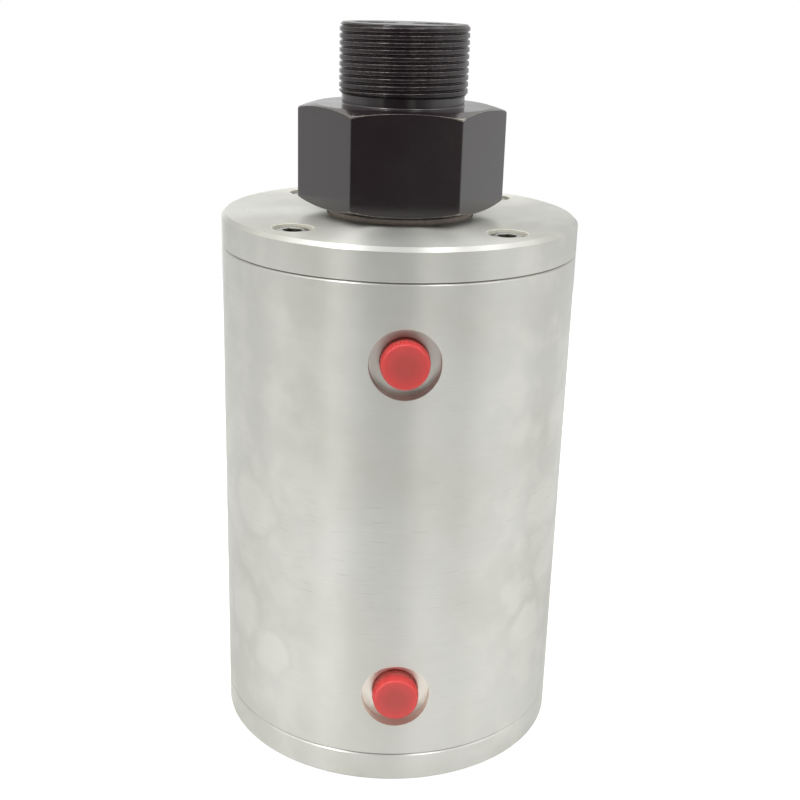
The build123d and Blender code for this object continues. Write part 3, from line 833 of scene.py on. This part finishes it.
def counterbored(skin, plate_z, out, inner_z):
    """Four counterbored holes of a cover whose outer face is at plate_z and looks up, or down for out -1."""
    floor_z = plate_z - out * COUNTERBORE_DEPTH
    rows = (
        (COUNTERBORE_R + HOLE_BREAK, plate_z),
        (COUNTERBORE_R + HOLE_BREAK / 4, plate_z - out * HOLE_BREAK / 4),
        (COUNTERBORE_R, plate_z - out * HOLE_BREAK),
        (COUNTERBORE_R, floor_z),
        (CLEARANCE_R, floor_z),
        (CLEARANCE_R, inner_z),
    )
    for x, y in screw_positions():
        skin.grid([small_ring(x, y, r, z) for r, z in rows], 1)


def top_cover():
    skin = Skin()
    rim_r = BODY_R - RIM_BREAK
    skin.turn(eased([
        (BODY_R - SEAM_BREAK, HOUSING_TOP),
        (BODY_R, HOUSING_TOP + SEAM_BREAK, 0.1),
        (BODY_R, BODY_TOP - RIM_BREAK, 0.15),
        (rim_r, BODY_TOP, 0.15),
        (rim_r - 0.5, BODY_TOP),
    ], 0.1))
    skin.turn([(rim_r - 0.5, BODY_TOP), (COVER_FACE_R, BODY_TOP)])
    mouth_r = WIPER_LIP_OUTER_R + 0.15
    seat_r = WIPER_R + 0.02
    end_face(skin, COVER_FACE_R, mouth_r + HOLE_BREAK, BODY_TOP, COUNTERBORE_R + HOLE_BREAK)
    skin.turn([
        (mouth_r + HOLE_BREAK, BODY_TOP),
        (mouth_r, BODY_TOP - HOLE_BREAK),
        (mouth_r, WIPER_HIGH),
        (seat_r, WIPER_HIGH),
        (seat_r, WIPER_LOW),
        (COVER_BORE_R, WIPER_LOW),
        (COVER_BORE_R, COVER_RECESS_Z),
        (COVER_RECESS_R, COVER_RECESS_Z),
        (COVER_RECESS_R, TOP_REGISTER_Z),
        (TOP_RACE_R, TOP_REGISTER_Z),
        (TOP_RACE_R, HOUSING_TOP),
    ])
    end_face(skin, BODY_R - SEAM_BREAK, TOP_RACE_R, HOUSING_TOP, CLEARANCE_R)
    counterbored(skin, BODY_TOP, 1, HOUSING_TOP)
    finishes = [ALUMINIUM, DRILLED]
    return make("top_cover_plate", skin, finishes, "root", ["top_cover"], wall_r=BODY_R)


def bottom_cover():
    skin = Skin()
    rim_r = BODY_R - BASE_BREAK
    skin.turn(eased([
        (BODY_R - SEAM_BREAK, COVER),
        (BODY_R, COVER - SEAM_BREAK, 0.1),
        (BODY_R, BASE_BREAK, 0.1),
        (rim_r, 0.0, 0.1),
        (rim_r - 0.5, 0.0),
    ], 0.1))
    skin.turn([(rim_r - 0.5, 0.0), (COVER_FACE_R, 0.0)])
    end_face(skin, COVER_FACE_R, 0, 0.0, COUNTERBORE_R + HOLE_BREAK)
    end_face(skin, BODY_R - SEAM_BREAK, BOTTOM_RACE_R, COVER, CLEARANCE_R)
    skin.turn([
        (BOTTOM_RACE_R, COVER),
        (BOTTOM_RACE_R, BOTTOM_REGISTER_Z),
        (BOTTOM_POCKET_R, BOTTOM_REGISTER_Z),
        (BOTTOM_POCKET_R, BOTTOM_POCKET_Z),
        (0.0, BOTTOM_POCKET_Z),
    ])
    counterbored(skin, 0.0, -1, COVER)
    finishes = [ALUMINIUM, DRILLED]
    return make("bottom_cover_plate", skin, finishes, "root", ["bottom_cover"], wall_r=BODY_R)


# Screws

def hex_ring(flat_r, height, count):
    """Points of a level hexagon, in step with a circle of as many points."""
    angle = np.radians(-90) + np.linspace(0, 2 * np.pi, count, endpoint=False)
    sector = np.mod(angle + np.pi / 6, np.pi / 3) - np.pi / 6
    return ring(flat_r / np.cos(sector), height, count)


def cap_screw():
    """An M6 socket head cap screw, standing on Z = 0 with its head above."""
    skin = Skin()
    count = 96
    thread_count = count // 2
    knurl = 32
    angle = np.linspace(0, 2 * np.pi, count, endpoint=False)
    groove = 0.09 * (0.5 - 0.5 * np.cos(angle * knurl))

    def side(height, depth):
        points = ring(HEAD_R, height, count)
        points[:, :2] *= ((HEAD_R - groove * depth) / HEAD_R)[:, None]
        return points

    stitch(skin, ring(HEAD_FOOT_R, 0, count), ring(SCREW_R, 0, thread_count))
    rows = [ring(HEAD_FOOT_R, 0, count), side(0.2, 0), side(0.5, 1), side(4.9, 1), side(5.2, 0)]
    top = ((HEAD_R, 5.5), (4.93, 5.75), (4.75, 5.93), (4.5, 6.0), (3.1, 6.0))
    mouth = hex_ring(SOCKET_MOUTH_R, 5.85, count)
    skin.grid(rows + [ring(r, z, count) for r, z in top] + [mouth])
    # The socket takes the second material, painted dark as shade
    skin.grid([
        mouth,
        hex_ring(SOCKET_FLAT_R, 5.65, count),
        hex_ring(SOCKET_FLAT_R, 3.2, count),
        ring(2.3, 3.0, count),
        ring(0, 2.2, count),
    ], 1)
    screw_thread(
        skin, SCREW_PITCH, SCREW_ROOT_R, SCREW_CREST_R, -SCREW_LENGTH, -0.001,
        lambda z: SCREW_ROOT_R + np.clip(z + SCREW_TAPER, 0, None),
        lambda z: np.minimum(SCREW_ROOT_R + np.clip(z + SCREW_LENGTH, 0, None), SCREW_R),
        count=thread_count,
    )
    skin.turn([(SCREW_R, 0), (SCREW_R - 0.001, -0.001)], count=thread_count)
    skin.turn([(SCREW_ROOT_R, -SCREW_LENGTH), (0, -SCREW_LENGTH)], count=thread_count)
    return skin


def cover_screws(name, node, seat, up, turns):
    one = cap_screw()
    skin = Skin()
    for (x, y), turn in zip(screw_positions(), turns):
        c, s = math.cos(math.radians(turn)), math.sin(math.radians(turn))

        def place(points, x=x, y=y, c=c, s=s):
            px = points[:, 0] * c - points[:, 1] * s * up
            py = points[:, 0] * s + points[:, 1] * c * up
            return np.stack([px + x, py + y, points[:, 2] * up + seat], 1)

        skin.copy_from(one, place)
    return make(name, skin, [SCREW_STEEL, SOCKET], "root", [node], crease=35.0)


# Rotor

def hexagon_plan(side_points=20, corner_points=6):
    """Points round the hexagon with its rounded corners, its flats facing -Y and +Y."""
    plan = []
    half = (HEX_FLAT_R - HEX_ROUND) * math.tan(math.radians(30))
    corner_reach = (HEX_FLAT_R - HEX_ROUND) / math.cos(math.radians(30))
    for k in range(6):
        flat = math.radians(-90 + 60 * k)
        normal = np.array([math.cos(flat), math.sin(flat)])
        along = np.array([-normal[1], normal[0]])
        for s in np.linspace(-1, 1, side_points):
            plan.append(normal * HEX_FLAT_R + along * half * s)
        corner = math.radians(-60 + 60 * k)
        centre = np.array([math.cos(corner), math.sin(corner)]) * corner_reach
        for s in np.linspace(-30, 30, corner_points + 2)[1:-1]:
            turn = corner + math.radians(s)
            plan.append(centre + HEX_ROUND * np.array([math.cos(turn), math.sin(turn)]))
    return np.array(plan)


def rotor():
    skin = Skin()
    plan = hexagon_plan()
    radius = np.hypot(plan[:, 0], plan[:, 1])
    unit = plan / radius[:, None]
    slope = math.tan(math.radians(HEX_CONE_ANGLE))
    drop = (radius - HEX_CONE_R) * slope

    def at(r, z):
        r = np.broadcast_to(r, radius.shape)
        return np.stack([unit[:, 0] * r, unit[:, 1] * r, np.broadcast_to(z, radius.shape)], 1)

    worn = 0.12 + 0.5 * np.clip((radius - HEX_FLAT_R) / (radius.max() - HEX_FLAT_R), 0, 1) ** 3
    top_rows = [
        at(NECK_R + NECK_FILLET, HEX_TOP),
        at(HEX_CONE_R - 0.2, HEX_TOP),
        at(HEX_CONE_R + 0.15, HEX_TOP - 0.15 * slope),
        at(radius - worn, HEX_TOP - drop + worn * slope),
    ]
    top_edge = [
        at(radius - 0.3 * worn, HEX_TOP - drop - 0.2 * worn),
        at(radius, HEX_TOP - drop - worn),
    ]
    bottom_edge = [
        at(radius, HEX_BOTTOM + drop + worn),
        at(radius - 0.3 * worn, HEX_BOTTOM + drop + 0.2 * worn),
    ]
    bottom_rows = [
        at(radius - worn, HEX_BOTTOM + drop - worn * slope),
        at(HEX_CONE_R + 0.15, HEX_BOTTOM + 0.15 * slope),
        at(HEX_CONE_R - 0.2, HEX_BOTTOM),
        at(COLLAR_R + COLLAR_BREAK, HEX_BOTTOM),
    ]
    skin.grid(top_rows)
    skin.grid([top_rows[-1]] + top_edge, 1)
    skin.grid([top_edge[-1] * (1 - s) + bottom_edge[0] * s for s in np.linspace(0, 1, 6)])
    skin.grid(bottom_edge + [bottom_rows[0]], 1)
    skin.grid(bottom_rows)
    # Neck above the hexagon, on a small fillet, and the thread on it
    foot = [
        (NECK_R + NECK_FILLET * (1 - math.sin(a)), HEX_TOP + NECK_FILLET * (1 - math.cos(a)))
        for a in np.radians((0, 22.5, 45, 67.5, 90))
    ]
    stitch(skin, at(foot[0][0], HEX_TOP), ring(foot[0][0], HEX_TOP))
    skin.turn(foot + [(NECK_R, THREAD_BOTTOM)])
    screw_thread(
        skin, THREAD_PITCH, THREAD_ROOT_R, THREAD_CREST_R, THREAD_BOTTOM, ROTOR_TOP,
        lambda z: NECK_R,
        lambda z: np.minimum(NECK_R + (z - THREAD_BOTTOM) * THREAD_END_SLOPE, THREAD_TOP_R + (ROTOR_TOP - z)),
        shape=ROUND_THREAD, mark=2,
    )
    ports = (-ROTOR_PORT_X, ROTOR_PORT_X)
    mouth_r = PORT_MAJOR_R + 0.15
    mouths = [small_ring(x, 0, mouth_r, ROTOR_TOP, PORT_POINTS) for x in ports]
    skin.fill([ring(THREAD_TOP_R, ROTOR_TOP)] + mouths)
    for x in ports:
        def place(points, x=x):
            return points + (x, 0, 0)

        bottom = ROTOR_TOP - ROTOR_PORT_DEPTH
        port_thread(skin, bottom, ROTOR_TOP, mouth_r, place)
        end = PORT_HEIGHTS[1 if x > 0 else 0] - PASSAGE_OVERRUN
        skin.turn([
            (PORT_MINOR_R, bottom),
            (PASSAGE_R, bottom - 1.0),
            (PASSAGE_R, end),
            (0, end - PASSAGE_POINT),
        ], place=place, count=PORT_POINTS)
    # Collar and the shaft inside the housing
    stitch(skin, bottom_rows[-1], ring(COLLAR_R + COLLAR_BREAK, HEX_BOTTOM))
    skin.turn([
        (COLLAR_R + COLLAR_BREAK, HEX_BOTTOM),
        (COLLAR_R + 0.08, HEX_BOTTOM - 0.08),
        (COLLAR_R, HEX_BOTTOM - COLLAR_BREAK),
        (COLLAR_R, TOP_REGISTER_Z),
        (TOP_JOURNAL_R, TOP_REGISTER_Z),
        (TOP_JOURNAL_R, TOP_JOURNAL_LOW),
        (SHAFT_R, TOP_JOURNAL_LOW),
        (SHAFT_R, BOTTOM_SEAT_Z),
        (BOTTOM_JOURNAL_R, BOTTOM_SEAT_Z),
        (BOTTOM_JOURNAL_R, BOTTOM_REGISTER_Z),
        (RING_GROOVE_R, BOTTOM_REGISTER_Z),
        (RING_GROOVE_R, RING_GROOVE_LOW),
        (BOTTOM_JOURNAL_R, RING_GROOVE_LOW),
        (BOTTOM_JOURNAL_R, SHAFT_END + SHAFT_BREAK),
        (BOTTOM_JOURNAL_R - SHAFT_BREAK, SHAFT_END),
        (0, SHAFT_END),
    ])
    finishes = [BLACK, BLACK_EDGE, BLACK_THREAD]
    return make("rotor_shaft", skin, finishes, "rotor", ["rotor"], crease=33.0)


# Wiper and plugs

def wiper():
    skin = Skin()
    neck_r = (WIPER_LIP_R + WIPER_LIP_OUTER_R) / 2
    seat = WIPER_HIGH - 0.02
    skin.turn(eased([
        (neck_r, WIPER_LOW + 0.5),
        (WIPER_LIP_R + 0.8, WIPER_LOW, 0.2),
        (WIPER_R, WIPER_LOW, 0.2),
        (WIPER_R, seat, 0.2),
        (WIPER_LIP_OUTER_R, seat, 0.2),
        (WIPER_LIP_OUTER_R, WIPER_LIP_TOP, 0.4),
        (WIPER_LIP_R, WIPER_LIP_TOP, 0.1),
        (WIPER_LIP_R, BODY_TOP + 0.3, 0.1),
        (neck_r, WIPER_LOW + 0.5),
    ], 0.15))
    return make("wiper_ring", skin, [WIPER_RUBBER], "root", ["wiper"], crease=50.0)


def plug(name, node, body, height, turn):
    """A hollow plastic plug whose head has fine ribs round it and a slightly sunken, creased face."""
    skin = Skin()
    count = PLUG_RIBS * 6
    angle = np.linspace(0, 2 * np.pi, count, endpoint=False)
    wave = np.abs(np.sin(angle * PLUG_RIBS / 2))
    place = port_place(height)

    def ribbed(radius, distance, depth):
        points = ring(radius, distance, count)
        points[:, :2] *= ((radius - depth * (1 - wave) ** 1.5) / radius)[:, None]
        return points

    stem = (
        (PLUG_STEM_R - PLUG_WALL, PLUG_TIP_Y),
        (PLUG_STEM_R - 0.35, PLUG_TIP_Y),
        (PLUG_STEM_R - 0.1, PLUG_TIP_Y + 0.15),
        (PLUG_STEM_R, PLUG_TIP_Y + 0.5),
        (PLUG_STEM_R, PLUG_BASE_Y - 0.1),
        (PLUG_STEM_R + 0.1, PLUG_BASE_Y),
        (PLUG_BASE_R - 0.2, PLUG_BASE_Y),
    )
    head = [(PLUG_BASE_R - 0.05, PLUG_BASE_Y + 0.08, 0.1), (PLUG_BASE_R, PLUG_BASE_Y + 0.3, 0.2)]
    taper, length = PLUG_FACE_R - PLUG_BASE_R, PLUG_FACE_Y - PLUG_BASE_Y
    head += [(PLUG_BASE_R + taper * s, PLUG_BASE_Y + length * s, 0.2) for s in (0.35, 0.6, 0.85)]
    head += [(PLUG_FACE_R - 0.1, PLUG_FACE_Y - 0.22, 0.16), (PLUG_FACE_R - 0.3, PLUG_FACE_Y - 0.06, 0.09)]
    face = (
        (PLUG_FACE_R - 0.6, PLUG_FACE_Y),
        (PLUG_FACE_R - 1.0, PLUG_FACE_Y - 0.02),
        (PLUG_FACE_R - 1.5, PLUG_FACE_Y - 0.1),
        (PLUG_FACE_R - 2.2, PLUG_FACE_Y - 0.17),
        (3.4, PLUG_FACE_Y - 0.2),
        (2.2, PLUG_FACE_Y - 0.2),
        (1.0, PLUG_FACE_Y - 0.19),
        (0, PLUG_FACE_Y - 0.19),
    )
    rows = [ring(r, z, count) for r, z in stem]
    rows += [ribbed(r, z, depth) for r, z, depth in head]
    rows += [ring(r, z, count) for r, z in face]
    skin.grid(rows)
    inside = PLUG_FACE_Y - PLUG_WALL
    hollow = PLUG_STEM_R - PLUG_WALL
    cavity = [(hollow, PLUG_TIP_Y), (hollow, inside - 0.4), (hollow - 0.4, inside), (0, inside)]
    skin.turn(cavity, count=count)
    skin.points = [place(np.concatenate(skin.points) @ turn_about_z(turn))]
    return make(name, skin, [RED], body, [node], crease=60.0)


housing()
top_cover()
bottom_cover()
cover_screws("top_screws", "top_cover_screws", BODY_TOP - COUNTERBORE_DEPTH, 1, (10, 35, 20, 48))
cover_screws("bottom_screws", "bottom_cover_screws", COUNTERBORE_DEPTH, -1, (30, 12, 44, 25))
rotor()
wiper()
plug("upper_plug_cap", "upper_port_plug", "upper_plug", PORT_HEIGHTS[1], 0)
plug("lower_plug_cap", "lower_port_plug", "lower_plug", PORT_HEIGHTS[0], 40)


# Floor, studio light and camera

FLOOR_R = 0.62
CAMERA_PLACE = (-18.4, -376.3, 236.8)
YAW_PITCH_ROLL = (3.06, 19.019, -1.668)
LENS = 54.74
SENSOR = 36.0

# Light by compass point near the horizon, and across the sky, as (degrees, level, warmth)
AROUND = (
    (-180, 0.95, 0), (-165, 1.05, 0), (-148, 0.6, 0), (-120, 0.6, 0), (-85, 0.65, 0), (-70, 0.44, 0.02),
    (-55, 0.35, 0.04), (-48, 0.38, 0.08), (-41, 0.43, 0.08), (-37, 0.13, 0.05), (-22, 0.11, 0.0),
    (-6, 0.08, -0.02), (5, 0.11, 0.0), (11, 0.36, 0.08), (17, 0.38, 0.08), (23, 0.15, 0.05),
    (41, 0.29, 0.03), (60, 0.62, 0), (90, 0.78, 0), (120, 0.72, 0), (148, 0.72, 0),
    (165, 0.5, 0), (180, 0.9, 0),
)
OVERHEAD = (
    (-90, 0.62, 0.07), (-45, 0.8, 0.05), (-33, 1.2, 0), (-26, 1.5, 0), (-22, 4.1, 0), (-18, 4.1, 0),
    (-15, 1.45, 0), (-11, 0.9, -0.08), (-4, 0.74, -0.1), (3, 0.74, -0.08), (8, 2.8, -0.02), (12, 2.8, 0),
    (16, 1.0, 0), (21, 0.95, 0), (28, 1.4, 0), (34, 0.95, 0), (45, 0.8, 0.04), (90, 0.68, 0.05),
)


def floor():
    mesh = bpy.data.meshes.new("floor")
    shape = bmesh.new()
    bmesh.ops.create_circle(shape, cap_ends=True, segments=96, radius=FLOOR_R)
    shape.to_mesh(mesh)
    shape.free()
    piece = bpy.data.objects.new("floor", mesh)
    bpy.context.scene.collection.objects.link(piece)
    material, n = blank("pale_floor")
    n.tree.nodes.remove(n.bsdf)
    diffuse = n.new("BsdfDiffuse", (0.62, 0.62, 0.61, 1))
    path = n.new("LightPath")
    y = n.place()[2]
    near = n.math("MULTIPLY", n.between(y, -0.4, -0.1, 0.0, 0.21), n.between(y, -0.06, 0.03, 1.0, 0.0))
    mirrored = n.math("MULTIPLY", path.outputs["Is Glossy Ray"], near)
    seen = n.math("MULTIPLY", path.outputs["Is Camera Ray"], 0.52)
    glow = n.new("Emission", (1, 1, 1, 1), n.math("MAXIMUM", seen, mirrored))
    both = n.new("AddShader", diffuse, glow)
    n.tree.links.new(both.outputs[0], n.tree.nodes["Material Output"].inputs["Surface"])
    mesh.materials.append(material)


def graded(nodes, value, low, high, stops):
    """Colour of a value between low and high, from (value, level, warmth) stops."""
    ramp = nodes.new("ValToRGB", nodes.between(value, low, high, 0.0, 1.0))
    elements = ramp.color_ramp.elements
    while len(elements) < len(stops):
        elements.new(0.5)
    for element, (place, level, warmth) in zip(elements, stops):
        element.position = (place - low) / (high - low)
        element.color = (level, level * (1 - 0.1 * warmth), level * (1 - warmth), 1)
    return ramp.outputs[0]


def world():
    """Light from all round: a level for each compass point near the horizon, and bands overhead."""
    sky = bpy.data.worlds.new("studio")
    bpy.context.scene.world = sky
    n = Nodes(sky)
    background = n.tree.nodes["Background"]
    direction = n.new("TexCoord").outputs["Generated"]
    split = n.new("SeparateXYZ", direction)
    x, y, z = split.outputs[0], split.outputs[1], split.outputs[2]
    turn = n.math("DEGREES", n.math("ARCTAN2", x, n.math("MULTIPLY", y, -1.0)))
    around = graded(n, turn, -180, 180, AROUND)
    fan = n.math("DEGREES", n.math("ARCTAN2", n.math("SUBTRACT", x, 0.05), n.math("SUBTRACT", 0.985, y)))
    over = graded(n, fan, -90, 90, OVERHEAD)
    lift = n.between(y, 0.05, 0.6, 1.92, 1.0)
    over = n.new("VectorMath", over, n.new("CombineXYZ", lift, lift, lift), operation="MULTIPLY").outputs[0]
    # Straight overhead it is even, so that the cover doesn't burn out seen from above
    over = n.blend(n.between(z, 0.87, 0.95, 0.0, 1.0), over, (1.1, 1.1, 1.1, 1))
    rise = n.between(n.math("ADD", z, n.math("MULTIPLY", y, 0.25)), 0.35, 0.6, 0.0, 1.0)
    level = n.blend(rise, around, over)
    camera = n.new("LightPath").outputs["Is Camera Ray"]
    n.put(background.inputs["Color"], n.blend(camera, level, (1, 1, 1, 1)))
    background.inputs["Strength"].default_value = 1.0


def camera():
    yaw, pitch, roll = (math.radians(a) for a in YAW_PITCH_ROLL)
    forward = Vector((math.sin(yaw) * math.cos(pitch), math.cos(yaw) * math.cos(pitch), -math.sin(pitch)))
    right = Vector((math.cos(yaw), -math.sin(yaw), 0))
    down = forward.cross(right)
    x_axis = right * math.cos(roll) + down * math.sin(roll)
    y_axis = right * math.sin(roll) - down * math.cos(roll)
    lens = bpy.data.cameras.new("camera")
    lens.lens, lens.sensor_width = LENS, SENSOR
    lens.clip_start = 0.01
    piece = bpy.data.objects.new("camera", lens)
    bpy.context.scene.collection.objects.link(piece)
    matrix = Matrix((x_axis, y_axis, -forward)).transposed().to_4x4()
    matrix.translation = Vector(CAMERA_PLACE) * MM
    piece.matrix_world = matrix
    bpy.context.scene.camera = piece


floor()
world()
camera()
bpy.context.scene.view_settings.view_transform = "Standard"
